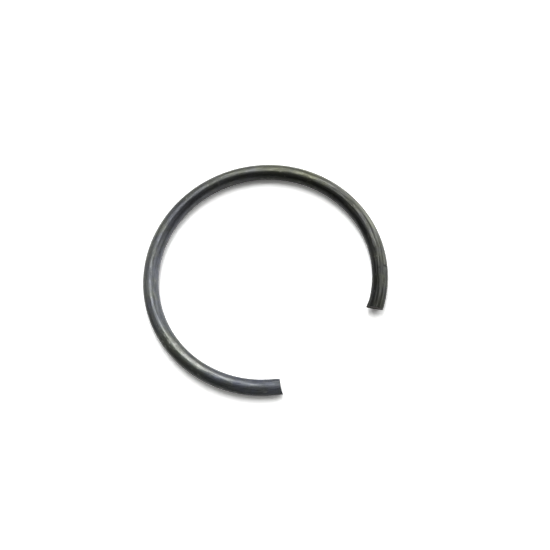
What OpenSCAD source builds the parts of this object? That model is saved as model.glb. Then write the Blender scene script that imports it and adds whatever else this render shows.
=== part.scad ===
// Round-wire snap ring
//
// A C-shaped ring of drawn spring wire. It is wound as one turn of a coil and parted from it
// by a shear, so each end keeps the marks of the cut: a hollow, slanted face with one corner
// rolled over and a burr on the other.
// The ring lies in the XY plane with its centre at the origin, the middle of the wire at
// z = 0 and its opening towards -Y. Sizes are in millimetres, angles in degrees.

/* [Ring] */
// Outside diameter of the ring
ring_od = 25; // [18:0.5:45]
// Diameter of the round wire
wire_d = 1.6; // [1.2:0.1:2.4]
// Opening between the two ends, seen from the ring's centre
gap_angle = 62.5; // [30:0.5:120]

/* [Right end] */
// Slant of the cut face, forwards on the inside of the ring
right_slant = 9; // [1:0.5:15]
// Lean of the cut face, forwards at the top of the wire
right_lean = 10; // [-15:1:15]
// Depth of the hollow in the cut face
right_hollow = 0.06; // [0.02:0.01:0.12]
// Radius of the corner rolled over, on the outside of the ring
right_roll_r = 0.12; // [0.06:0.01:0.4]
// Height of the burr, on the inside of the ring
right_burr_h = 0.08; // [0.03:0.01:0.14]
// Length of wire over which the burr rises
right_burr_l = 0.7; // [0.4:0.1:1.2]

/* [Left end] */
// Slant of the cut face, forwards on the outside of the ring
left_slant = 2.5; // [1:0.5:15]
// Lean of the cut face, forwards at the top of the wire
left_lean = 0; // [-15:1:15]
// Depth of the hollow in the cut face
left_hollow = 0.08; // [0.02:0.01:0.12]
// Radius of the corner rolled over, on the inside of the ring
left_roll_r = 0.3; // [0.06:0.01:0.4]
// Height of the burr, on the outside of the ring
left_burr_h = 0.04; // [0.03:0.01:0.14]
// Length of wire over which the burr rises
left_burr_l = 0.4; // [0.4:0.1:1.2]

/* [Hidden] */
wire_r = wire_d / 2;
// Radius of the wire's centre line
mean_r = ring_od / 2 - wire_r;
// Where each end is cut, as an angle about the ring's centre
right_at = -90 + gap_angle / 2;
left_at = -90 - gap_angle / 2;
// Wire left past each cut, for the shear to take off, and how far the shear reaches
stock = 0.6 * wire_d;
shear_reach = 1.2 * wire_d;
// A rolled corner is not quite tangent: it breaks out of the side and the face at this angle
roll_breakout = 18;
// A burr is narrower than the wire that it rises from
burr_r = 0.7 * wire_r;
inside = -1;
outside = 1;
blackened_steel = [0.17, 0.17, 0.18];

// Angle at the ring's centre of a length along the wire's centre line
function along(length) = length / mean_r * 180 / PI;

function polar(radius, angle) = radius * [cos(angle), sin(angle)];

// Puts its children at the right end of the wire. There +X runs out of the end into the
// opening, +Y across the wire to the corner that is rolled over, and +Z up.
module at_right_end()
    rotate([0, 0, right_at])
        translate([mean_r, 0, 0])
            rotate([0, 0, -90])
                children();

// The same for the left end, where the rolled corner is the inner one.
module at_left_end()
    rotate([0, 0, left_at])
        translate([mean_r, 0, 0])
            rotate([0, 0, 90])
                children();

// The round wire, bent to the ring and still a little too long at both ends.
module coiled_wire()
    rotate([0, 0, right_at - along(stock)])
        rotate_extrude(angle = 360 - gap_angle + 2 * along(stock), $fn = 180)
            translate([mean_r, 0])
                circle(r = wire_r, $fn = 48);

// The hollow that the shear leaves: a large circle, sunk into the wire by the given depth.
module hollow_outline(depth)
    let (hollow_r = (wire_r * wire_r + depth * depth) / (2 * depth))
        intersection() {
            translate([hollow_r - depth, 0])
                circle(r = hollow_r, $fn = 180);
            translate([-wire_r, -wire_d])
                square([wire_r + shear_reach, 2 * wire_d]);
        }

// What is missing at the corner that the shear rolled over.
module roll_outline(radius)
    let (inset = radius * cos(roll_breakout))
        translate([-inset, wire_r - inset])
            difference() {
                square([shear_reach, wire_d]);
                circle(r = radius, $fn = 48);
            }

// Everything that the shear takes away at one end of the wire.
module shear(slant, lean, hollow, roll_r)
    rotate([0, lean, 0])
        rotate([0, 0, slant])
            linear_extrude(height = 2 * wire_d, center = true)
                union() {
                    hollow_outline(hollow);
                    roll_outline(roll_r);
                }

// The lip of metal that the shear drags along one side of the wire. It climbs in a straight
// line from inside the wire to its full height at the cut.
// back is the way along the ring from the cut into the wire, 1 or -1.
module burr(cut_at, back, side, height, length)
    let (
        depth = wire_r - burr_r,
        root = polar(mean_r + side * (depth - height), cut_at + back * along(2 * length)),
        tip = polar(mean_r + side * (depth + height), cut_at),
        rise = tip - root
    )
        translate([root.x, root.y, 0])
            rotate([0, 0, atan2(rise.y, rise.x)])
                rotate([0, 90, 0])
                    cylinder(r = burr_r, h = norm(rise) + stock, $fn = 48);

module snap_ring()
    color(blackened_steel)
        difference() {
            union() {
                coiled_wire();
                burr(right_at, 1, inside, right_burr_h, right_burr_l);
                burr(left_at, -1, outside, left_burr_h, left_burr_l);
            }
            at_right_end()
                shear(right_slant, right_lean, right_hollow, right_roll_r);
            at_left_end()
                shear(left_slant, left_lean, left_hollow, left_roll_r);
        }

snap_ring();
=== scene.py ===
import logging
import math
from dataclasses import dataclass
from enum import Enum
from typing import Iterable, Sequence

import bpy
from mathutils import Matrix, Vector, noise


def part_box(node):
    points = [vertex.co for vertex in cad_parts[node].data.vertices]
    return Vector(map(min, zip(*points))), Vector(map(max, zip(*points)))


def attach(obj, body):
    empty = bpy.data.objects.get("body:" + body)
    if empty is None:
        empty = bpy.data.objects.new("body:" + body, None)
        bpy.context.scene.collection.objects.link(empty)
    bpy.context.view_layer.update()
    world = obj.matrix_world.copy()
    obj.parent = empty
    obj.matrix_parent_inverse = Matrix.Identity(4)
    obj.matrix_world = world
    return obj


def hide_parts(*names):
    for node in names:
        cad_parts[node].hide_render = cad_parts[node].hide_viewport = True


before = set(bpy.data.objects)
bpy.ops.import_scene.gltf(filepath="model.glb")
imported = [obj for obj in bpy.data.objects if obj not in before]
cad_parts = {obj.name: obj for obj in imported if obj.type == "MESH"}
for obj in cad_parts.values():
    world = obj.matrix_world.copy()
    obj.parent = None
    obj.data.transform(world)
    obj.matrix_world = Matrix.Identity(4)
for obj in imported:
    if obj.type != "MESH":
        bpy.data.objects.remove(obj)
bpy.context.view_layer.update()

log = logging.getLogger("snap_ring_looks")

# The photograph's width and height, in pixels.
PHOTO_SIDE = 550
# The ring is modelled in mm and brought to metres, the frame's unit, at the end.
MM = 0.001
FULL_TURN = 2.0 * math.pi
# The radius of the ring's centre line, and a length that half of its wire fits in, in mm.
SPINE = 11.7
HALF_RUN = 31.0
# Where the middle of the wire lies round the ring, in radians from +X.
RUN_MIDDLE = math.pi / 2
# The wire's own coordinates, its skin's wear and stains with painted highlight and shade, and painted
# shade on one side, with the type of each attribute.
WIRE_ATTRIBUTES = {
    "wire_run": "FLOAT_VECTOR",
    "cut_face": "FLOAT_VECTOR",
    "wear_and_painted_light": "FLOAT",
    "painted_shade": "FLOAT",
}
# The power, in watts, of a lamp of one square metre whose surface has a radiance of 1.
LAMP_WATTS = 4.0

Colour = tuple[float, float, float, float]
Feed = bpy.types.NodeSocket | float | Sequence[float]


class Side(Enum):
    """The side of the wire, seen from the ring's centre, that a shear mark lies on."""

    INSIDE = -1
    OUTSIDE = 1


class Zone(Enum):
    """A material slot of the ring, by its number."""

    DRAWN_SKIN = 0
    SHEARED_FACE = 1


def deselect_all() -> None:
    """Leaves edit mode, with nothing selected."""
    if bpy.context.object and bpy.context.object.mode != "OBJECT":
        bpy.ops.object.mode_set(mode="OBJECT")
    bpy.ops.object.select_all(action="DESELECT")


def make_active(piece: bpy.types.Object) -> None:
    """Selects one piece alone and makes it the active one.

    Args:
        piece: The piece.
    """
    deselect_all()
    piece.select_set(True)
    bpy.context.view_layer.objects.active = piece


def select_vertices(piece: bpy.types.Object, wanted: Iterable[int]) -> None:
    """Selects vertices of the active piece by number, and leaves it in edit mode.

    Args:
        piece: The mesh piece, which is the active object.
        wanted: The numbers of the vertices to select.
    """
    bpy.ops.object.mode_set(mode="EDIT")
    bpy.ops.mesh.select_mode(type="VERT")
    bpy.ops.mesh.select_all(action="DESELECT")
    bpy.ops.object.mode_set(mode="OBJECT")
    for number in wanted:
        piece.data.vertices[number].select = True
    bpy.ops.object.mode_set(mode="EDIT")


def even_ramp(start: float, stop: float, value: float) -> float:
    """Returns 0 before start, 1 beyond stop and a smooth ramp between; stop may be the smaller."""
    share = min(1.0, max(0.0, (value - start) / (stop - start)))
    return share * share * (3.0 - 2.0 * share)


def turn_between(one: float, other: float) -> float:
    """Returns the turn in radians from one angle to another, from -pi to pi."""
    return (other - one + math.pi) % FULL_TURN - math.pi


@dataclass(frozen=True)
class WirePlace:
    """A place on the bent wire, as the ring's maker would give it.

    Attributes:
        around: The angle round the ring in radians, from +X.
        outward: The distance from the wire's centre line away from the ring's centre, in mm.
        up: The distance from the wire's centre line along +Z, in mm.
    """

    around: float
    outward: float
    up: float

    @property
    def section_angle(self) -> float:
        """The angle round the wire's section: 0 outside, a quarter turn on top."""
        return math.atan2(self.up, self.outward)

    @property
    def section_reach(self) -> float:
        """The distance from the wire's centre line, in mm."""
        return math.hypot(self.outward, self.up)


@dataclass(frozen=True)
class CutGrain:
    """The relief of a cut face: drag lines where the blade burnished it, and then a torn break.

    Attributes:
        break_from: Where the break begins, as a share of the wire's radius from its middle.
        wander, wander_rate: How far that line wanders, in mm, and its waves for each mm.
        wander_plane: The plane of the noise that the wander is cut from.
        blend: How far to each side of the line one gives way to the other, in mm.
        drag_depth: How deep the drag lines are, in mm.
        drag_rates: The waves of the drag lines for each mm, across the face and up it.
        torn_depth, torn_rate: How rough the break is, in mm, and its lumps for each mm.
        torn_plane: How far the noise of the break lies from that of the drag lines.
        torn_fall, torn_step, torn_octaves: How the finer lumps follow from the coarse ones.
        torn_sink: How far the break lies below the burnished part, in mm.
    """

    break_from: float = 0.25
    wander: float = 0.09
    wander_rate: float = 2.2
    wander_plane: float = 3.1
    blend: float = 0.05
    drag_depth: float = 0.0025
    drag_rates: tuple[float, float] = (1.5, 22.0)
    torn_depth: float = 0.020
    torn_rate: float = 5.5
    torn_plane: float = 7.0
    torn_fall: float = 0.8
    torn_step: float = 2.1
    torn_octaves: int = 4
    torn_sink: float = 0.012

    def height(self, toward_roll: float, up: float, wire_r: float, seed: float) -> float:
        """Finds how far the face stands out of the smooth cut.

        Args:
            toward_roll: Distance from the centre line towards the rolled corner, in mm.
            up: Distance from the centre line along +Z, in mm.
            wire_r: The wire's radius, in mm.
            seed: The number of the noise that this face takes its pattern from.

        Returns:
            The height in mm, less than 0 for most of the break.
        """
        line = Vector((seed, up * self.wander_rate, self.wander_plane))
        edge = self.break_from * wire_r + self.wander * noise.noise(line)
        torn = even_ramp(edge + self.blend, edge - self.blend, toward_roll)
        across, upward = self.drag_rates
        drag = self.drag_depth * noise.noise(Vector((toward_roll * across, up * upward, seed)))
        spot = Vector((toward_roll * self.torn_rate, up * self.torn_rate, seed + self.torn_plane))
        lumps = noise.fractal(spot, self.torn_fall, self.torn_step, self.torn_octaves)
        return (1.0 - torn) * drag + torn * (self.torn_depth * lumps - self.torn_sink)


@dataclass(frozen=True)
class ShearedEnd:
    """One end of the ring, parted from the coil by a shear, in mm and degrees.

    The blade enters at the rolled corner and breaks out at the corner with the burr, so the cut
    slants, its middle is hollow, and its far half is a rough break. Depths and heights are
    measured at the wire's skin, and x runs out of the wire along its centre line.

    Attributes:
        name: What the end is called.
        at: Where the middle of the cut's chord lies round the ring.
        way: +1 where a larger angle round the ring leads out of the end, and -1 otherwise.
        rolled: The side that the blade entered.
        slant: How far the cut leans from square, in the ring's plane.
        lean: How far the top of the cut stands forward.
        hollow: Depth of the hollow in the cut.
        roll_r: Radius of the rolled corner.
        droop, droop_l: How far the skin sinks before the rolled corner, and over what length.
        burr_h, burr_l: Height of the burr, and the length over which the skin flares to it.
        seed: The number of the noise that the end takes its grain from.
        grain: The relief of the cut face.
        reach: How far back from the cut the shear has moved the wire.
        roll_breakout: How far the rolled corner is from running out square to the skin.
        rim_r: How far back the skin ends from the rim, where a narrow edge joins the two.
        rim_wave, rim_rate: How far the rim wavers, and its waves for each radius of the wire.
        grain_span, rim_span: Between which shares of the radius the grain fades out towards the
            rim, and the waver of the rim fades in.
        droop_limit, droop_curve: The most that the droop grows to, and the power it grows by.
        droop_focus: The power by which the droop gathers at the rolled corner.
        burr_round: Radius of the burr's lip, as a share of the wire's radius.
        settle_rounds: How many rounds find the place of the slanted cut.
    """

    name: str
    at: float
    way: int
    rolled: Side
    slant: float
    lean: float
    hollow: float
    roll_r: float
    droop: float
    droop_l: float
    burr_h: float
    burr_l: float
    seed: float
    grain: CutGrain = CutGrain()
    reach: float = 1.6
    roll_breakout: float = 18.0
    rim_r: float = 0.022
    rim_wave: float = 0.012
    rim_rate: float = 4.0
    grain_span: tuple[float, float] = (1.0, 0.93)
    rim_span: tuple[float, float] = (0.8, 1.0)
    droop_limit: float = 1.3
    droop_curve: float = 1.3
    droop_focus: int = 3
    burr_round: float = 0.7
    settle_rounds: int = 6

    def turn_to(self, place: WirePlace) -> float:
        """Returns the turn in radians from the cut out of the wire to a place."""
        return turn_between(math.radians(self.at), place.around) * self.way

    def section(self, place: WirePlace) -> tuple[float, float]:
        """Returns a place's distance towards the rolled corner and its height, in mm."""
        return place.outward * self.rolled.value, place.up

    def cut_x(self, toward_roll: float, up: float, wire_r: float) -> float:
        """Finds how far out the cut lies at a point of the wire's section.

        Args:
            toward_roll: Distance from the centre line towards the rolled corner, in mm.
            up: Distance from the centre line along +Z, in mm.
            wire_r: The wire's radius, in mm.

        Returns:
            The cut's place along the wire from the chord's middle, in mm.
        """
        slant, lean = math.radians(self.slant), math.radians(self.lean)
        hollow_r = (wire_r ** 2 + self.hollow ** 2) / (2 * self.hollow)
        inset = self.roll_r * math.cos(math.radians(self.roll_breakout))
        along = 0.0
        for _ in range(self.settle_rounds):
            across = -along * math.sin(slant) + toward_roll * math.cos(slant)
            across_held = max(-hollow_r, min(hollow_r, across))
            chord = hollow_r - self.hollow - math.sqrt(hollow_r ** 2 - across_held ** 2)
            past = across - (wire_r - inset)
            if past > 0:
                rolled = -inset + math.sqrt(max(0.0, self.roll_r ** 2 - past ** 2))
                chord = min(chord, rolled)
            along = (chord - toward_roll * math.sin(slant)) / math.cos(slant)
        return (along + up * math.sin(lean)) / math.cos(lean)

    def skin_lift(self, x: float, angle: float, wire_r: float) -> float:
        """Finds how far the skin stands off its drawn radius near the end.

        Args:
            x: Place along the wire from the chord's middle, in mm, less than 0 inside the wire.
            angle: Angle round the section from the rolled corner, in radians.
            wire_r: The wire's radius, in mm.

        Returns:
            The lift in mm, above 0 at the burr and below 0 at the rolled corner.
        """
        lift = 0.0
        facing_roll = math.cos(angle)
        if facing_roll > 0 and self.droop > 0:
            sink = min(self.droop_limit, max(0.0, 1.0 + x / self.droop_l))
            lift -= self.droop * sink ** self.droop_curve * facing_roll ** self.droop_focus
        height = self.burr_h * (1.0 + x / self.burr_l)
        if facing_roll < 0 and height > -wire_r:
            burr_r = self.burr_round * wire_r
            centre = wire_r - burr_r + height
            beta = math.pi - abs(angle)
            inside = burr_r ** 2 - (centre * math.sin(beta)) ** 2
            if inside > 0:
                reach = centre * math.cos(beta) + math.sqrt(inside)
                lift += max(0.0, reach - wire_r)
        return lift

    def shear(self, place: WirePlace, x: float, on_face: bool, wire_r: float) -> tuple[float, float]:
        """Moves a point near the end to where the shear leaves it.

        Args:
            place: The point's place on the plain wire.
            x: Its place along the wire from the chord's middle, in mm.
            on_face: Whether it lies on the cut face.
            wire_r: The wire's radius, in mm.

        Returns:
            Its new place along the wire, and how far it is lifted off its radius, in mm.
        """
        toward_roll, up = self.section(place)
        angle = math.atan2(up, toward_roll)
        share = min(1.0, place.section_reach / wire_r)
        smooth_rim = self.cut_x(wire_r * math.cos(angle), wire_r * math.sin(angle), wire_r)
        spot = Vector((self.rim_rate * math.cos(angle), self.rim_rate * math.sin(angle), self.seed))
        rim = smooth_rim + self.rim_wave * noise.noise(spot)
        if on_face:
            relief = self.grain.height(toward_roll, up, wire_r, self.seed)
            x = self.cut_x(toward_roll, up, wire_r)
            x += relief * even_ramp(*self.grain_span, share)
            x += (rim - smooth_rim) * even_ramp(*self.rim_span, share)
        else:
            x += (rim - self.rim_r) * even_ramp(-self.reach, 0.0, x)
        return x, self.skin_lift(min(x, rim), angle, wire_r) * share


@dataclass(frozen=True)
class SkinMark:
    """A nick, a dent, a stain or a rubbed patch in the wire's skin, or a painted highlight or
    painted shade on it, in degrees and mm.

    Attributes:
        around: Where it lies round the ring.
        section: Where its middle lies round the section: 0 outside, 90 on top.
        width: How wide it is along the wire.
        spread: How far it reaches round the section, in degrees.
        depth: How deep it is, or how high it stands where this is less than 0.
        wear_and_painted_light: How far the black skin is rubbed off in it, or how bright a highlight is
            painted, up
        to 1; how dark it is stained, or how dark shade is painted, where this is less than 0,
        down to -1.
        skew: How far it runs along the wire over its spread.
    """

    around: float
    section: float
    width: float
    spread: float
    depth: float = 0.0
    wear_and_painted_light: float = 0.0
    skew: float = 0.0

    def share(self, place: WirePlace, spine_r: float) -> float:
        """Finds how much of the mark a place gets.

        Args:
            place: The place on the bent wire.
            spine_r: The radius of the ring's centre line, in mm.

        Returns:
            The share, from 0 far away to 1 in the mark's middle.
        """
        turn = turn_between(math.radians(self.section), place.section_angle)
        turn /= math.radians(self.spread)
        along = turn_between(math.radians(self.around), place.around) * spine_r
        along -= self.skew * turn
        return math.exp(-(2.0 * along / self.width) ** 2 - (2.0 * turn) ** 4)


@dataclass
class SnapRing:
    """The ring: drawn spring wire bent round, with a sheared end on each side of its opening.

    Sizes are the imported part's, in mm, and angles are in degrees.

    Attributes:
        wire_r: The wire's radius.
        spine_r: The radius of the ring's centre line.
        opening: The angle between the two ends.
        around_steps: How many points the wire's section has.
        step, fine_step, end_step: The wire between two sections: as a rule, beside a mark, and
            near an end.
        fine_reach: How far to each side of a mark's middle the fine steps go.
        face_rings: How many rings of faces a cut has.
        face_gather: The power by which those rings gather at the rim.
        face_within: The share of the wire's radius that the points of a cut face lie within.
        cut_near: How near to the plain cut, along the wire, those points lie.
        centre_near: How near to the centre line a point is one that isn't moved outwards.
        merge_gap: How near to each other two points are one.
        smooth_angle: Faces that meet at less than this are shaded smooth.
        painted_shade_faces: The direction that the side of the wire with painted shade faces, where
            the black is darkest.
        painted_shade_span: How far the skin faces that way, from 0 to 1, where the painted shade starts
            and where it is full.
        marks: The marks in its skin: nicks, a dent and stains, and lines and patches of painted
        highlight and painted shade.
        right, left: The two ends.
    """

    wire_r: float = 0.8
    spine_r: float = SPINE
    opening: float = 62.5
    around_steps: int = 72
    step: float = 0.115
    fine_step: float = 0.035
    fine_reach: float = 0.35
    end_step: float = 0.05
    face_rings: int = 22
    face_gather: float = 1.55
    face_within: float = 0.9995
    cut_near: float = 1e-3
    centre_near: float = 1e-6
    merge_gap: float = 1e-5
    smooth_angle: float = 50.0
    painted_shade_faces: float = 185.0
    painted_shade_span: tuple[float, float] = (0.07, 0.78)
    marks: tuple[SkinMark, ...] = (
        SkinMark(around=75.6, section=114, width=0.24, spread=60, depth=0.022, wear_and_painted_light=0.07, skew=0.05),
        SkinMark(around=-37.4, section=49, width=0.26, spread=34, depth=0.020, wear_and_painted_light=-0.75, skew=0.10),
        SkinMark(around=-38.4, section=101, width=0.20, spread=26, depth=0.008, wear_and_painted_light=-0.40, skew=-0.06),
        SkinMark(around=172.4, section=52, width=0.42, spread=50, depth=-0.018, wear_and_painted_light=0.05),
        # Painted highlight: a bared line and three bright spots where the highlight falls on the lower
        # left, which brighten it.
        SkinMark(around=194.0, section=111, width=7.5, spread=30, wear_and_painted_light=0.40),
        SkinMark(around=196.7, section=109, width=1.0, spread=24, wear_and_painted_light=0.58),
        SkinMark(around=188.0, section=111, width=0.6, spread=22, wear_and_painted_light=0.55),
        SkinMark(around=180.3, section=112, width=0.5, spread=22, wear_and_painted_light=0.50),
        # Painted highlight: a lighter patch on the outer side of the wire near the right.
        SkinMark(around=10.0, section=70, width=3.6, spread=40, wear_and_painted_light=0.12),
        # Painted shade: darkens the inner flank of the lit band near the right.
        SkinMark(around=-3.0, section=100, width=4.2, spread=25, wear_and_painted_light=-0.66),
        # Painted highlight: a light line along the top near the right end.
        SkinMark(around=-53.5, section=84, width=2.8, spread=18, wear_and_painted_light=0.07),
        # Painted shade: darkens the inner side near the right end.
        SkinMark(around=-50.0, section=114, width=5.0, spread=38, wear_and_painted_light=-0.38),
    )

    def __post_init__(self) -> None:
        """Places the two ends."""
        half = self.opening / 2
        self.right = ShearedEnd(
            name="right end", at=-90 + half, way=-1, rolled=Side.OUTSIDE, slant=9.0, lean=10.0,
            hollow=0.06, roll_r=0.12, droop=0.012, droop_l=0.3, burr_h=0.08, burr_l=0.7, seed=1.7)
        self.left = ShearedEnd(
            name="left end", at=-90 - half, way=1, rolled=Side.INSIDE, slant=2.5, lean=0.0,
            hollow=0.08, roll_r=0.16, droop=0.10, droop_l=0.45, burr_h=0.04, burr_l=0.4, seed=5.3)

    def build(self) -> bpy.types.Object:
        """Models the ring.

        Returns:
            The finished mesh piece, in metres, with its place in its mesh.
        """
        deselect_all()
        bpy.ops.mesh.primitive_circle_add(
            vertices=self.around_steps, radius=self.wire_r, fill_type="NOTHING",
            location=(0.0, self.spine_r, 0.0), rotation=(math.pi / 2, 0.0, math.pi / 2))
        piece = bpy.context.object
        piece.name = piece.data.name = "snap_ring_wire"
        bpy.ops.object.transform_apply(location=True, rotation=True, scale=True)
        first = range(len(piece.data.vertices))
        for end in (self.right, self.left):
            select_vertices(piece, first)
            self.bend_to(end)
            self.close_face(end)
            log.info("%s of %s: bent and closed", end.name, piece.name)
        bpy.ops.mesh.select_all(action="SELECT")
        bpy.ops.mesh.remove_doubles(threshold=self.merge_gap)
        bpy.ops.mesh.normals_make_consistent(inside=False)
        bpy.ops.object.mode_set(mode="OBJECT")
        self.press(piece)
        make_active(piece)
        bpy.ops.object.mode_set(mode="EDIT")
        bpy.ops.mesh.select_all(action="SELECT")
        bpy.ops.transform.resize(value=(MM, MM, MM), center_override=(0.0, 0.0, 0.0))
        bpy.ops.object.mode_set(mode="OBJECT")
        bpy.ops.object.shade_smooth_by_angle(angle=math.radians(self.smooth_angle))
        return piece

    def stations(self, end: ShearedEnd) -> list[tuple[float, float]]:
        """Lists the stretches from the middle of the wire to one end.

        Args:
            end: The end that the wire is bent towards.

        Returns:
            Each stretch's turn in radians and the step that it is bent in, in mm.
        """
        total = (math.radians(end.at) - RUN_MIDDLE) * end.way % FULL_TURN
        cuts = [(total - end.reach / self.spine_r, total, self.end_step)]
        for mark in self.marks:
            middle = (math.radians(mark.around) - RUN_MIDDLE) * end.way % FULL_TURN
            half = self.fine_reach / self.spine_r
            if half < middle < total - half:
                cuts.append((middle - half, middle + half, self.fine_step))
        stretches = []
        done = 0.0
        for low, high, step in sorted(cuts):
            low = max(low, done)
            if low > done:
                stretches.append((low - done, self.step))
            if high > low:
                stretches.append((high - low, step))
            done = max(done, high)
        return stretches

    def bend_to(self, end: ShearedEnd) -> None:
        """Spins the selected section round the ring to one end, in finer steps where it is marked.

        Args:
            end: The end.
        """
        for turn, step in self.stations(end):
            bpy.ops.mesh.spin(
                steps=max(1, round(turn * self.spine_r / step)), angle=-end.way * turn,
                center=(0.0, 0.0, 0.0), axis=(0.0, 0.0, 1.0))

    def close_face(self, end: ShearedEnd) -> None:
        """Extrudes the selected rim inwards ring by ring, and merges the last one at the centre.

        Args:
            end: The end that the rim belongs to.
        """
        centre = self.point_at(WirePlace(math.radians(end.at), 0.0, 0.0))
        stay = {"value": (0.0, 0.0, 0.0)}
        reach = 1.0
        for number in range(1, self.face_rings + 1):
            wanted = 1.0 - (number / (self.face_rings + 1)) ** self.face_gather
            bpy.ops.mesh.extrude_edges_move(TRANSFORM_OT_translate=stay)
            bpy.ops.transform.resize(value=(wanted / reach,) * 3, center_override=centre)
            reach = wanted
        bpy.ops.mesh.extrude_edges_move(TRANSFORM_OT_translate=stay)
        bpy.ops.mesh.merge(type="CENTER")

    def place_of(self, point: Vector) -> WirePlace:
        """Returns where on the bent wire a point in mm lies."""
        outward = math.hypot(point.x, point.y) - self.spine_r
        return WirePlace(math.atan2(point.y, point.x), outward, point.z)

    def point_at(self, place: WirePlace) -> Vector:
        """Returns the point in mm at a place on the bent wire."""
        radius = self.spine_r + place.outward
        return Vector((radius * math.cos(place.around), radius * math.sin(place.around), place.up))

    def marked(self, place: WirePlace) -> tuple[float, float]:
        """Finds what the marks do to the skin at a place.

        Args:
            place: The place on the bent wire.

        Returns:
            How deep the skin is sunk there, in mm, and its share of bared skin and painted highlight,
            less than 0 for stains and painted shade.
        """
        sunk = wear_and_painted_light_here = 0.0
        for mark in self.marks:
            share = mark.share(place, self.spine_r)
            sunk += mark.depth * share
            wear_and_painted_light_here = max(wear_and_painted_light_here, mark.wear_and_painted_light * share, key=abs)
        return sunk, wear_and_painted_light_here

    def painted_shade_share(self, place: WirePlace) -> float:
        """Returns how far a place lies on the side of the wire where shade is painted, from 0 to 1."""
        turn = place.around - math.radians(self.painted_shade_faces)
        return even_ramp(*self.painted_shade_span, math.cos(turn) * place.outward / self.wire_r)

    def press(self, piece: bpy.types.Object) -> None:
        """Presses the sheared ends and the marks into the wire, and writes its own coordinates.

        No operator gives a shear's rolled corner, hollow and burr in one mesh, so each point is
        moved by the shapes above. The straight run of the wire is kept as the attribute
        wire_run, in mm: x along it, y outwards and z up. The attribute cut_face is the same for
        an end: x out of it, y towards its rolled corner and z up. A third attribute is 1 where
        the black skin is off and where a highlight is painted, and -1 where it is stained and
        where shade is painted; a fourth is 1 on the side of the wire where shade is painted.

        Args:
            piece: The ring's mesh, in mm.
        """
        mesh = piece.data
        for name, kind in WIRE_ATTRIBUTES.items():
            mesh.attributes.new(name, kind, "POINT")
        run, cut, wear_and_painted_light, painted_shade = (mesh.attributes[name].data for name in WIRE_ATTRIBUTES)
        on_cut: set[int] = set()
        for vertex in mesh.vertices:
            place = self.place_of(vertex.co)
            end = min((self.right, self.left), key=lambda one: abs(one.turn_to(place)))
            x = end.turn_to(place) * (self.spine_r + place.outward)
            on_face = abs(x) < self.cut_near and place.section_reach < self.face_within * self.wire_r
            around, lift, wear_and_painted_light_here = place.around, 0.0, 0.0
            sheared = x > -end.reach
            if sheared:
                x, lift = end.shear(place, x, on_face, self.wire_r)
            if on_face:
                on_cut.add(vertex.index)
            else:
                sunk, wear_and_painted_light_here = self.marked(place)
                lift -= sunk
            swell = 1.0
            if place.section_reach > self.centre_near:
                swell += lift / place.section_reach
            outward, height = place.outward * swell, place.up * swell
            if sheared:
                around = math.radians(end.at) + end.way * x / (self.spine_r + outward)
            vertex.co = self.point_at(WirePlace(around, outward, height))
            length = turn_between(RUN_MIDDLE, around) * self.spine_r
            run[vertex.index].vector = (length, outward, height)
            cut[vertex.index].vector = (x, *end.section(place))
            wear_and_painted_light[vertex.index].value = wear_and_painted_light_here
            painted_shade[vertex.index].value = self.painted_shade_share(place)
        for polygon in mesh.polygons:
            zone = Zone.SHEARED_FACE if on_cut.issuperset(polygon.vertices) else Zone.DRAWN_SKIN
            polygon.material_index = zone.value


@dataclass(frozen=True)
class PhotoCamera:
    """The camera at the photograph's viewing angle.

    Attributes:
        tilt: How far it leans from looking straight down, in degrees.
        azimuth: Where it stands round the ring, in degrees from -Y towards +X.
        roll: How far it is turned about its own axis, in degrees.
        distance: How far it is from the ring's centre, in mm.
        focal_px: Its focal length, in pixels of the photograph.
        centre_right_px, centre_up_px: Where the ring's centre lies in the picture, in pixels
            from its middle.
        sensor: The width of its sensor, in mm.
        clip: The nearest and the farthest that it sees, in metres.
    """

    tilt: float = 21.107
    azimuth: float = -27.27
    roll: float = -12.933
    distance: float = 93.6
    focal_px: float = 918.41
    centre_right_px: float = -10.486
    centre_up_px: float = -0.224
    sensor: float = 36.0
    clip: tuple[float, float] = (0.001, 20.0)

    def away(self) -> Vector:
        """Works out where the camera stands.

        Returns:
            The direction from the ring's centre to the camera.
        """
        tilt, azimuth = math.radians(self.tilt), math.radians(self.azimuth)
        flat = math.sin(tilt)
        return Vector((math.sin(azimuth) * flat, -math.cos(azimuth) * flat, math.cos(tilt)))

    def axes(self) -> Matrix:
        """Finds how the camera is turned.

        Returns:
            A matrix whose rows are the camera's right, up and back directions.
        """
        back = self.away()
        roll = math.radians(self.roll)
        right = Vector((0.0, 0.0, 1.0)).cross(back).normalized()
        up = back.cross(right)
        rolled_right = math.cos(roll) * right + math.sin(roll) * up
        rolled_up = -math.sin(roll) * right + math.cos(roll) * up
        centre = Vector((self.centre_right_px, self.centre_up_px, -self.focal_px)).normalized()
        turn = Vector((0.0, 0.0, -1.0)).rotation_difference(centre).to_matrix()
        return turn @ Matrix((rolled_right, rolled_up, back))

    def place(self) -> bpy.types.Object:
        """Adds the camera and makes it the scene's own.

        Returns:
            The camera.
        """
        data = bpy.data.cameras.new("photo_camera")
        data.sensor_fit = "HORIZONTAL"
        data.sensor_width = self.sensor
        data.lens = self.focal_px / PHOTO_SIDE * self.sensor
        data.clip_start, data.clip_end = self.clip
        camera = bpy.data.objects.new("photo_camera", data)
        bpy.context.scene.collection.objects.link(camera)
        turned = self.axes().transposed().to_4x4()
        camera.matrix_world = Matrix.Translation(self.away() * self.distance * MM) @ turned
        bpy.context.scene.camera = camera
        return camera


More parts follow.
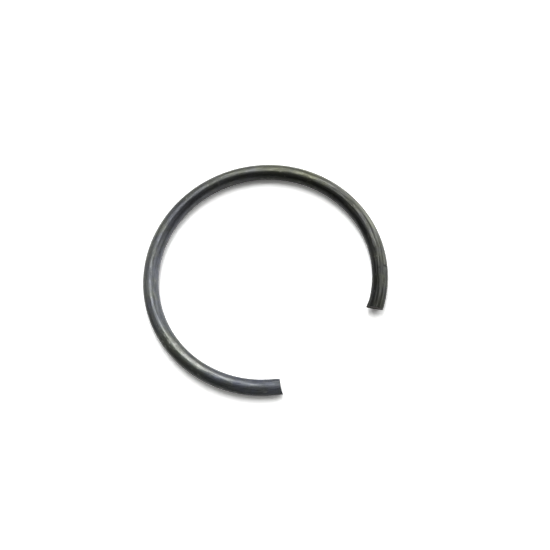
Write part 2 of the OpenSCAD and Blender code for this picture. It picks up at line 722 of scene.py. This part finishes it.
class NodeSheet:
    """A node tree with short ways to add and join its nodes."""

    def __init__(self, tree: bpy.types.NodeTree) -> None:
        """Takes the tree to write on."""
        self.tree = tree

    def add(self, kind: str, inputs: dict | None = None, **settings: object) -> bpy.types.Node:
        """Adds a node.

        Args:
            kind: The node's type, without its ShaderNode prefix.
            inputs: A value or an output socket for each named or numbered input.
            **settings: The node's own settings.

        Returns:
            The node.
        """
        node = self.tree.nodes.new("ShaderNode" + kind)
        for name, value in settings.items():
            setattr(node, name, value)
        for name, value in (inputs or {}).items():
            self.feed(node.inputs[name], value)
        return node

    def feed(self, socket: bpy.types.NodeSocket, value: Feed) -> None:
        """Joins an output socket to an input, or sets the input's own value.

        Args:
            socket: The input.
            value: The output socket or the value.
        """
        if isinstance(value, bpy.types.NodeSocket):
            self.tree.links.new(value, socket)
        else:
            socket.default_value = value

    def attribute(self, name: str, output: str) -> bpy.types.NodeSocket:
        """Returns an output of one of the mesh's own attributes."""
        return self.add("Attribute", attribute_name=name).outputs[output]

    def place_mm(self) -> bpy.types.NodeSocket:
        """Returns the place on the object, in mm."""
        own = self.add("TexCoord").outputs["Object"]
        return self.add("VectorMath", {0: own, "Scale": 1 / MM}, operation="SCALE").outputs[0]

    def calculate(self, operation: str, one: Feed, other: Feed = 0.0,
                  clamp: bool = False) -> bpy.types.NodeSocket:
        """Adds a Math node, kept from 0 to 1 where clamp is true, and returns its result."""
        node = self.add("Math", {0: one, 1: other}, operation=operation, use_clamp=clamp)
        return node.outputs[0]

    def spread(self, value: Feed, low: float, high: float, to_low: float = 0.0,
               to_high: float = 1.0, smooth: bool = True) -> bpy.types.NodeSocket:
        """Adds a Map Range.

        Args:
            value: The value to spread.
            low, high: The range that it comes from, beyond which it is held.
            to_low, to_high: The range that it is spread over.
            smooth: Whether it eases in and out at the two ends.

        Returns:
            The spread value.
        """
        inputs = {"Value": value, "From Min": low, "From Max": high, "To Min": to_low,
                  "To Max": to_high}
        kind = "SMOOTHSTEP" if smooth else "LINEAR"
        return self.add("MapRange", inputs, interpolation_type=kind).outputs["Result"]

    def mixture(self, *parts: tuple[Feed, float]) -> bpy.types.NodeSocket:
        """Adds up values, each times its weight.

        Args:
            *parts: Each value and its weight.

        Returns:
            The sum.
        """
        total = 0.0
        for value, weight in parts:
            node = self.add("Math", {0: value, 1: weight, 2: total}, operation="MULTIPLY_ADD")
            total = node.outputs[0]
        return total

    def tinted(self, colour: Feed, cast: Feed) -> bpy.types.NodeSocket:
        """Multiplies a colour by a cast or a value and returns the colour."""
        inputs = {0: 1.0, 6: colour, 7: cast}
        return self.add("Mix", inputs, data_type="RGBA", blend_type="MULTIPLY").outputs[2]

    def blend(self, share: Feed, one: Feed, other: Feed) -> bpy.types.NodeSocket:
        """Mixes two colours by a share and returns the colour."""
        return self.add("Mix", {0: share, 6: one, 7: other}, data_type="RGBA").outputs[2]

    def ramp(self, share: Feed, stops: Sequence[tuple[float, Colour]]) -> bpy.types.Node:
        """Adds a Color Ramp.

        Args:
            share: Where on the ramp to read it.
            stops: Each colour with its place on the ramp.

        Returns:
            The node.
        """
        node = self.add("ValToRGB", {"Fac": share})
        elements = node.color_ramp.elements
        while len(elements) < len(stops):
            elements.new(0.5)
        for element, (place, colour) in zip(elements, sorted(stops)):
            element.position, element.color = place, colour
        return node


class GroupSheet(NodeSheet):
    """A shader node group with named inputs and outputs."""

    def __init__(self, name: str, takes: dict[str, tuple[str, Feed | None]],
                 gives: dict[str, str]) -> None:
        """Starts the group.

        Args:
            name: The group's name.
            takes: The type of each input and the value that it starts with, by name.
            gives: The type of each output, by name.
        """
        super().__init__(bpy.data.node_groups.new(name, "ShaderNodeTree"))
        sockets = self.tree.interface
        for label, (kind, value) in takes.items():
            socket = sockets.new_socket(name=label, in_out="INPUT", socket_type="NodeSocket" + kind)
            if value is not None:
                socket.default_value = value
        for label, kind in gives.items():
            sockets.new_socket(name=label, in_out="OUTPUT", socket_type="NodeSocket" + kind)
        self.takes = self.tree.nodes.new("NodeGroupInput").outputs
        self.gives = self.tree.nodes.new("NodeGroupOutput").inputs


class MaterialSheet(NodeSheet):
    """A new material's node tree."""

    def __init__(self, name: str) -> None:
        """Starts the material, with a Principled BSDF as its shader.

        Args:
            name: The material's name.
        """
        self.material = bpy.data.materials.new(name)
        self.material.use_nodes = True
        super().__init__(self.material.node_tree)
        self.shader = self.tree.nodes["Principled BSDF"]


@dataclass(frozen=True)
class Pattern:
    """A noise that lies over the surface.

    Attributes:
        scale: How many lumps it has for each unit of length.
        stretch: What each coordinate is multiplied by, which is small along a line.
        shift: What is added to each coordinate, so that no two patterns run together.
        detail: How many finer layers of lumps it has.
        roughness: How strong the finer layers are.
    """

    scale: float
    stretch: tuple[float, float, float] = (1.0, 1.0, 1.0)
    shift: tuple[float, float, float] = (0.0, 0.0, 0.0)
    detail: float = 1.0
    roughness: float = 0.5

    def over(self, sheet: NodeSheet, vector: Feed) -> bpy.types.NodeSocket:
        """Adds the pattern to a tree.

        Args:
            sheet: The tree.
            vector: The coordinates that it lies on.

        Returns:
            Its value, which is about 0.5 on average.
        """
        placed = sheet.add(
            "Mapping", {"Vector": vector, "Scale": self.stretch, "Location": self.shift})
        inputs = {"Vector": placed.outputs[0], "Scale": self.scale, "Detail": self.detail,
                  "Roughness": self.roughness}
        return sheet.add("TexNoise", inputs).outputs[0]


@dataclass(frozen=True)
class DieLines:
    """The lines that the drawing die leaves along the wire, on the wire's own coordinates in mm.

    Attributes:
        broad, short, fine, hair: Its lines, from the widest to the finest.
        height_weights: How much each of the four counts in the relief.
        tone_weights: How much the short, the fine and the hair lines count in the tone.
        tone_span, tone_range: Which values of that sum become which tones.
        scores: The long scores, which are lighter or darker than the skin beside them.
        light_span, dark_span: The values at which a light and a dark score fade in.
        score_run, score_strength: Between which places along the wire, in mm from its middle,
            the scores change, and how strong they are at the right end and over the rest.
        specks, speck_span: The specks that are rubbed first, and the values at which they fade in.
    """

    broad: Pattern = Pattern(2.6, stretch=(0.048, 1.0, 1.0), roughness=0.4)
    short: Pattern = Pattern(5.5, stretch=(0.16, 1.0, 1.0), shift=(2.0, 4.0, 6.0))
    fine: Pattern = Pattern(
        11.0, stretch=(0.096, 1.0, 1.0), shift=(3.0, 1.0, 0.0), detail=2.0, roughness=0.6)
    hair: Pattern = Pattern(30.0, stretch=(0.208, 1.0, 1.0), shift=(7.0, 2.0, 5.0))
    height_weights: tuple[float, float, float, float] = (0.15, 0.26, 0.33, 0.26)
    tone_weights: tuple[float, float, float] = (0.30, 0.38, 0.32)
    tone_span: tuple[float, float] = (0.43, 0.57)
    tone_range: tuple[float, float] = (0.30, 0.70)
    scores: Pattern = Pattern(7.0, stretch=(0.05, 1.0, 1.0), shift=(9.0, 2.0, 4.0))
    light_span: tuple[float, float] = (0.55, 0.65)
    dark_span: tuple[float, float] = (0.46, 0.36)
    score_run: tuple[float, float] = (-22.0, -8.0)
    score_strength: tuple[float, float] = (0.50, 0.18)
    specks: Pattern = Pattern(6.0, stretch=(0.35, 1.0, 1.0), shift=(5.0, 3.0, 1.0))
    speck_span: tuple[float, float] = (0.60, 0.74)

    def make(self) -> bpy.types.NodeTree:
        """Makes the node group.

        Returns:
            A group that takes the wire's own coordinates, and gives a height, a tone and a mask
            of the specks, each from about 0 to 1.
        """
        group = GroupSheet(
            "die_lines", {"Wire Run": ("Vector", None)},
            {"Height": "Float", "Tone": "Float", "Specks": "Float"})
        run = group.takes["Wire Run"]
        lines = [width.over(group, run) for width in (self.broad, self.short, self.fine, self.hair)]
        group.feed(group.gives["Height"], group.mixture(*zip(lines, self.height_weights)))
        tone = group.spread(
            group.mixture(*zip(lines[1:], self.tone_weights)), *self.tone_span, *self.tone_range)
        score = self.scores.over(group, run)
        length = group.add("SeparateXYZ", {0: run}).outputs["X"]
        scored = group.calculate(
            "SUBTRACT", group.spread(score, *self.light_span), group.spread(score, *self.dark_span))
        strength = group.spread(length, *self.score_run, *self.score_strength)
        scored = group.calculate("MULTIPLY", scored, strength)
        group.feed(group.gives["Tone"], group.calculate("ADD", tone, scored))
        speck = group.spread(self.specks.over(group, run), *self.speck_span)
        group.feed(group.gives["Specks"], speck)
        return group.tree


@dataclass(frozen=True)
class OxidePatches:
    """The black oxide's patchy colour, on the ring's own coordinates in mm.

    Attributes:
        wide, middling, small: Its patches, by their size.
        colour_weights, colour_span: How much the wide and the middling patches count in the
            colour, and which values of that sum lead from one colour to the other.
        thin_weights, thin_span: How much the middling and the small patches count where the
            oxide is thin, and the values of that sum at which it thins out.
    """

    wide: Pattern = Pattern(0.20, detail=2.0)
    middling: Pattern = Pattern(0.9, shift=(4.0, 9.0, 2.0), detail=3.0, roughness=0.6)
    small: Pattern = Pattern(6.0, shift=(1.0, 5.0, 8.0), detail=2.0, roughness=0.6)
    colour_weights: tuple[float, float] = (0.45, 0.55)
    colour_span: tuple[float, float] = (0.36, 0.64)
    thin_weights: tuple[float, float] = (0.5, 0.5)
    thin_span: tuple[float, float] = (0.42, 0.68)

    def make(self) -> bpy.types.NodeTree:
        """Makes the node group.

        Returns:
            A group that takes a place in mm, how far it leans to the olive colour and two
            colours, and gives the colour and a mask of the thin patches.
        """
        group = GroupSheet(
            "oxide_patches",
            {"Place": ("Vector", None), "Lean": ("Float", 0.0),
             "Blue Black": ("Color", (0.1, 0.1, 0.12, 1.0)),
             "Olive Black": ("Color", (0.1, 0.1, 0.09, 1.0))},
            {"Color": "Color", "Thin": "Float"})
        place = group.takes["Place"]
        wide, middling, small = (
            size.over(group, place) for size in (self.wide, self.middling, self.small))
        share = group.mixture(*zip((wide, middling), self.colour_weights), (group.takes["Lean"], 1.0))
        colour = group.blend(group.spread(share, *self.colour_span), group.takes["Blue Black"],
                             group.takes["Olive Black"])
        group.feed(group.gives["Color"], colour)
        thin = group.mixture(*zip((middling, small), self.thin_weights))
        group.feed(group.gives["Thin"], group.spread(thin, *self.thin_span))
        return group.tree


@dataclass(frozen=True)
class DrawnSkin:
    """The blackened skin of the drawn spring wire.

    Attributes:
        along: The black's colour along the wire, each with its place round the ring in degrees.
            It is deepest at the right end, and palest, with a cooler cast, at the upper left
            and at the left end. In part this lightness along the wire is painted light and shade,
            matched to how brightly each stretch of it is lit.
            The fourth number is how far its specks are rubbed bright.
        cool, warm: The casts of its patches, which multiply the colour.
        painted_warm_light_lean: How much more of the warm cast the outer side has, for each mm outwards:
            a painted tint of warm light on the lit side.
        painted_shade: How much of its lightness the black keeps in the painted shade on one side.
            painted_highlight_span, painted_highlight_rise: Between which distances outwards of the
            wire's middle, in mm, the painted highlight band on the outer shoulder begins, and how much
            lighter it is.
            highlight_fade_span, highlight_fade_keep: Between which distances outwards, in mm, that
                painted highlight
            fades back towards the outermost side, and how much lightness it keeps there.
        streak: The darkest and the lightest tone of the lines along the wire.
        patchy: How unevenly a rubbed patch or a painted highlight is lightened, from its darkest
        to its lightest line.
        bright_steel: The colour of the steel where the black is off, which painted highlights
        also lighten towards.
        roughness, roughness_swing: The skin's roughness, and how far the lines swing it.
        dull_span: How far along the wire, in mm from its middle, it starts to go dull and is
            dullest.
        dull_rise: How much rougher the dull ends are.
        line_depth_mm: How deep the die lines are, in mm.
    """

    along: tuple[tuple[float, Colour], ...] = (
        (-58.0, (0.027, 0.027, 0.026, 0.10)),
        (-42.0, (0.046, 0.047, 0.043, 0.15)),
        (-10.0, (0.069, 0.069, 0.062, 0.20)),
        (25.0, (0.075, 0.076, 0.061, 0.20)),
        (60.0, (0.058, 0.059, 0.054, 0.20)),
        (95.0, (0.048, 0.049, 0.048, 0.15)),
        (145.0, (0.092, 0.095, 0.102, 0.30)),
        (185.0, (0.076, 0.081, 0.079, 0.60)),
        (238.0, (0.086, 0.090, 0.110, 0.20)),
    )
    cool: Colour = (0.95, 0.97, 1.08, 1.0)
    warm: Colour = (1.02, 1.04, 0.89, 1.0)
    painted_warm_light_lean: float = 0.07
    painted_shade: float = 0.20
    painted_highlight_span: tuple[float, float] = (0.04, 0.52)
    painted_highlight_rise: float = 1.70
    highlight_fade_span: tuple[float, float] = (0.48, 0.70)
    highlight_fade_keep: float = 0.60
    streak: tuple[float, float] = (0.50, 1.50)
    patchy: tuple[float, float] = (0.40, 1.60)
    bright_steel: Colour = (0.42, 0.42, 0.40, 1.0)
    roughness: float = 0.39
    roughness_swing: float = 0.16
    dull_span: tuple[float, float] = (21.0, 29.0)
    dull_rise: float = 0.15
    line_depth_mm: float = 0.013

    def stops(self) -> list[tuple[float, Colour]]:
        """Lists the colours along the wire, each with its place on the ramp.

        Returns:
            The places, from 0 at the right end to 1 at the left one, and the colours.
        """
        placed = []
        for degrees, colour in self.along:
            length = turn_between(RUN_MIDDLE, math.radians(degrees)) * SPINE
            placed.append((length / HALF_RUN / 2 + 0.5, colour))
        return placed

    def make(self, lines: bpy.types.NodeTree, oxide: bpy.types.NodeTree) -> bpy.types.Material:
        """Builds the material.

        Args:
            lines: The group of die lines.
            oxide: The group of oxide patches.

        Returns:
            The material.
        """
        sheet = MaterialSheet("blackened_drawn_skin")
        run = sheet.attribute("wire_run", "Vector")
        axes = sheet.add("SeparateXYZ", {0: run})
        length, outward = axes.outputs["X"], axes.outputs["Y"]
        die = sheet.add("Group", {"Wire Run": run}, node_tree=lines)
        line_tone = die.outputs["Tone"]
        # Painted warm tint of the light on the lit, outer side.
        lean = sheet.calculate("MULTIPLY", outward, self.painted_warm_light_lean)
        skin = sheet.add(
            "Group", {"Place": sheet.place_mm(), "Lean": lean, "Blue Black": self.cool,
                      "Olive Black": self.warm}, node_tree=oxide)
        stretch = sheet.spread(length, -HALF_RUN, HALF_RUN, smooth=False)
        tone = sheet.ramp(stretch, self.stops())
        wear_and_painted_light = sheet.attribute("wear_and_painted_light", "Fac")
        # Painted shade: the black is darkened on the side of the wire that faces one way.
        side = sheet.attribute("painted_shade", "Fac")
        black = sheet.tinted(tone.outputs["Color"], skin.outputs["Color"])
        # The black is multiplied by the line tones, by the painted shade on one side, by the painted
        # highlight band on the outer shoulder and its fade, and by the stains and painted shade of the
        # marks.
        for shade in (
                sheet.spread(line_tone, 0.0, 1.0, *self.streak, smooth=False),
                sheet.spread(side, 0.0, 1.0, 1.0, self.painted_shade, smooth=False),
                sheet.spread(outward, *self.painted_highlight_span, 1.0, self.painted_highlight_rise),
                sheet.spread(outward, *self.highlight_fade_span, 1.0, self.highlight_fade_keep),
                sheet.spread(wear_and_painted_light, -1.0, 0.0, smooth=False)):
            black = sheet.tinted(black, shade)
        rubbed = sheet.calculate("MULTIPLY", skin.outputs["Thin"], die.outputs["Specks"])
        rubbed = sheet.calculate("MULTIPLY", rubbed, tone.outputs["Alpha"])
        # Rubbed patches and painted highlights lighten towards bright steel, unevenly along the lines.
        uneven = sheet.spread(line_tone, 0.0, 1.0, *self.patchy, smooth=False)
        patches = sheet.calculate("MULTIPLY", wear_and_painted_light, uneven)
        share = sheet.calculate("MAXIMUM", rubbed, patches, clamp=True)
        colour = sheet.blend(share, black, self.bright_steel)
        sheet.feed(sheet.shader.inputs["Base Color"], colour)
        dull = sheet.spread(sheet.calculate("ABSOLUTE", length), *self.dull_span)
        middle = self.roughness + self.roughness_swing / 2
        roughness = sheet.mixture(
            (line_tone, -self.roughness_swing), (dull, self.dull_rise), (1.0, middle))
        sheet.feed(sheet.shader.inputs["Roughness"], roughness)
        depth = self.line_depth_mm * MM
        bump = sheet.add("Bump", {"Height": die.outputs["Height"], "Distance": depth})
        sheet.feed(sheet.shader.inputs["Normal"], bump.outputs["Normal"])
        sheet.shader.inputs["Metallic"].default_value = 1.0
        return sheet.material


@dataclass(frozen=True)
class ShearFinish:
    """The finish of a sheared face, which was blackened after the cut.

    Attributes:
        blue_black, olive_black: The colours of its patches.
        roughness, roughness_swing: Its roughness, and how far the torn grain swings it each way.
        metallic: How metallic the thick oxide on it looks.
        torn, torn_span: Its grain, and the values of it between which the roughness changes.
        torn_depth_mm: How deep the grain is, in mm.
    """

    blue_black: Colour = (0.020, 0.018, 0.018, 1.0)
    olive_black: Colour = (0.028, 0.021, 0.016, 1.0)
    roughness: float = 0.66
    roughness_swing: float = 0.12
    metallic: float = 0.6
    torn: Pattern = Pattern(9.0, detail=4.0, roughness=0.65)
    torn_span: tuple[float, float] = (0.3, 0.7)
    torn_depth_mm: float = 0.02

    def make(self, oxide: bpy.types.NodeTree) -> bpy.types.Material:
        """Builds the material.

        Args:
            oxide: The group of oxide patches.

        Returns:
            The material.
        """
        sheet = MaterialSheet("blackened_sheared_face")
        skin = sheet.add(
            "Group", {"Place": sheet.place_mm(), "Blue Black": self.blue_black,
                      "Olive Black": self.olive_black}, node_tree=oxide)
        sheet.feed(sheet.shader.inputs["Base Color"], skin.outputs["Color"])
        torn = self.torn.over(sheet, sheet.attribute("cut_face", "Vector"))
        smoothest = self.roughness - self.roughness_swing
        roughest = self.roughness + self.roughness_swing
        roughness = sheet.spread(torn, *self.torn_span, smoothest, roughest)
        sheet.feed(sheet.shader.inputs["Roughness"], roughness)
        bump = sheet.add("Bump", {"Height": torn, "Distance": self.torn_depth_mm * MM})
        sheet.feed(sheet.shader.inputs["Normal"], bump.outputs["Normal"])
        sheet.shader.inputs["Metallic"].default_value = self.metallic
        return sheet.material


@dataclass(frozen=True)
class PaleSweep:
    """The white sheet that the ring lies on, which keeps the ring's shadow and turns up far away.

    Attributes:
        radius: Where it starts to turn up, in metres.
        bend: The radius of its turned-up edge, in metres.
        bend_angle: How far the edge turns up, in degrees.
        bend_steps: How many straight pieces the edge is made of.
        around_steps: How many straight pieces its rim is made of.
        colour: The sheet's own colour, which the ring's light comes back from.
        seen: Its colour to the camera and in reflections, where it is washed out to white.
        near, far: How far from the ring, in metres, the sheet starts to be seen as plain white,
            and where it is nothing else.
    """

    radius: float = 1.1
    bend: float = 0.20
    bend_angle: float = 70.0
    bend_steps: int = 10
    around_steps: int = 96
    colour: Colour = (0.88, 0.88, 0.87, 1.0)
    seen: Colour = (1.425, 1.435, 1.43, 1.0)
    near: float = 0.10
    far: float = 0.30

    def rim(self, share: float) -> tuple[float, float]:
        """Returns the radius and the height of the turned-up edge, from 0 at its foot to 1."""
        angle = math.radians(self.bend_angle) * share
        return self.radius + self.bend * math.sin(angle), self.bend * (1.0 - math.cos(angle))

    def place(self, height: float) -> bpy.types.Object:
        """Adds the sheet, from its upper rim inwards.

        Args:
            height: The height that the ring lies at, in metres.

        Returns:
            The sheet.
        """
        deselect_all()
        reach, rise = self.rim(1.0)
        bpy.ops.mesh.primitive_circle_add(
            vertices=self.around_steps, radius=reach, location=(0.0, 0.0, height + rise))
        sweep = bpy.context.object
        sweep.name = "white_sweep"
        bpy.ops.object.transform_apply(location=True, rotation=False, scale=False)
        bpy.ops.object.mode_set(mode="EDIT")
        for step in range(self.bend_steps - 1, -1, -1):
            next_reach, next_rise = self.rim(step / self.bend_steps)
            drop = {"value": (0.0, 0.0, next_rise - rise)}
            bpy.ops.mesh.extrude_edges_move(TRANSFORM_OT_translate=drop)
            narrower = next_reach / reach
            bpy.ops.transform.resize(value=(narrower, narrower, 1.0))
            reach, rise = next_reach, next_rise
        bpy.ops.mesh.edge_face_add()
        bpy.ops.mesh.select_all(action="SELECT")
        bpy.ops.mesh.normals_make_consistent(inside=True)
        bpy.ops.object.mode_set(mode="OBJECT")
        bpy.ops.object.shade_smooth()
        sweep.data.materials.append(self.paper())
        return sweep

    def paper(self) -> bpy.types.Material:
        """Makes the sheet's material.

        Returns:
            Matt paper that is plain white far from the ring.
        """
        sheet = MaterialSheet("white_paper")
        sheet.tree.nodes.remove(sheet.shader)
        rays = sheet.add("LightPath").outputs
        seen = sheet.calculate("ADD", rays["Is Camera Ray"], rays["Is Glossy Ray"])
        seen = sheet.calculate("ADD", seen, rays["Is Transmission Ray"], clamp=True)
        matt = sheet.add("BsdfDiffuse", {"Color": sheet.blend(seen, self.colour, self.seen)})
        white = sheet.add("Emission", {"Color": (1.0, 1.0, 1.0, 1.0), "Strength": 1.0})
        own = sheet.add("TexCoord").outputs["Object"]
        away = sheet.add("VectorMath", {0: own}, operation="LENGTH").outputs["Value"]
        share = sheet.calculate("MULTIPLY", sheet.spread(away, self.near, self.far), seen)
        both = sheet.add("MixShader", {0: share, 1: matt.outputs[0], 2: white.outputs[0]})
        sheet.feed(sheet.tree.nodes["Material Output"].inputs["Surface"], both.outputs[0])
        return sheet.material


@dataclass(frozen=True)
class SoftLamp:
    """A flat lamp that faces the ring, placed by its direction from the ring's centre.

    Attributes:
        name: The lamp's name.
        azimuth: Its direction round the ring, in degrees from +X.
        elevation: Its height over the table, in degrees.
        distance: How far away it is, in metres.
        width, height: Its size in metres.
        radiance: How bright its surface is, where plain white is 1.
        colour: Its colour.
    """

    name: str
    azimuth: float
    elevation: float
    distance: float
    width: float
    height: float
    radiance: float
    colour: tuple[float, float, float] = (1.0, 1.0, 1.0)

    def place(self) -> bpy.types.Object:
        """Adds the lamp.

        Returns:
            The lamp.
        """
        azimuth, elevation = math.radians(self.azimuth), math.radians(self.elevation)
        flat = math.cos(elevation)
        away = Vector((math.cos(azimuth) * flat, math.sin(azimuth) * flat, math.sin(elevation)))
        data = bpy.data.lights.new(self.name, "AREA")
        data.shape = "RECTANGLE"
        data.size, data.size_y = self.width, self.height
        data.color = self.colour
        data.energy = self.radiance * self.width * self.height * LAMP_WATTS
        lamp = bpy.data.objects.new(self.name, data)
        bpy.context.scene.collection.objects.link(lamp)
        facing = away.to_track_quat("Z", "Y").to_matrix().to_4x4()
        lamp.matrix_world = Matrix.Translation(away * self.distance) @ facing
        return lamp


@dataclass(frozen=True)
class Studio:
    """The light round the ring: three soft lamps in a dim room.

    Attributes:
        room: The colour of the room's own light.
        lamps: The lamps.
    """

    room: Colour = (0.272, 0.270, 0.265, 1.0)
    lamps: tuple[SoftLamp, ...] = (
        SoftLamp("key_softbox", azimuth=60, elevation=61, distance=0.40,
                 width=0.165, height=0.36, radiance=5.15),
        SoftLamp("side_softbox", azimuth=-7, elevation=28, distance=0.50,
                 width=0.554, height=0.60, radiance=1.45),
        SoftLamp("far_wall", azimuth=100, elevation=38, distance=0.60,
                 width=1.10, height=0.28, radiance=0.85),
    )

    def light(self) -> None:
        """Lights the scene and sets the plain view transform."""
        scene = bpy.context.scene
        scene.world = bpy.data.worlds.new("dim_room")
        scene.world.use_nodes = True
        scene.world.node_tree.nodes["Background"].inputs["Color"].default_value = self.room
        for lamp in self.lamps:
            log.info("lamp %s", lamp.place().name)
        scene.view_settings.view_transform = "Standard"


def main() -> None:
    """Builds the ring and its studio in order."""
    logging.basicConfig(level=logging.INFO, format="%(name)s: %(message)s")
    PhotoCamera().place()
    oxide = OxidePatches().make()
    piece = SnapRing().build()
    piece.data.materials.append(DrawnSkin().make(DieLines().make(), oxide))
    piece.data.materials.append(ShearFinish().make(oxide))
    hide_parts("snap_ring")
    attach(piece, "root")
    log.info("%s: %d faces", piece.name, len(piece.data.polygons))
    low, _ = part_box("snap_ring")
    sweep = PaleSweep().place(low.z)
    log.info("%s: at %.2f mm", sweep.name, low.z / MM)
    Studio().light()


if __name__ == "__main__":
    main()
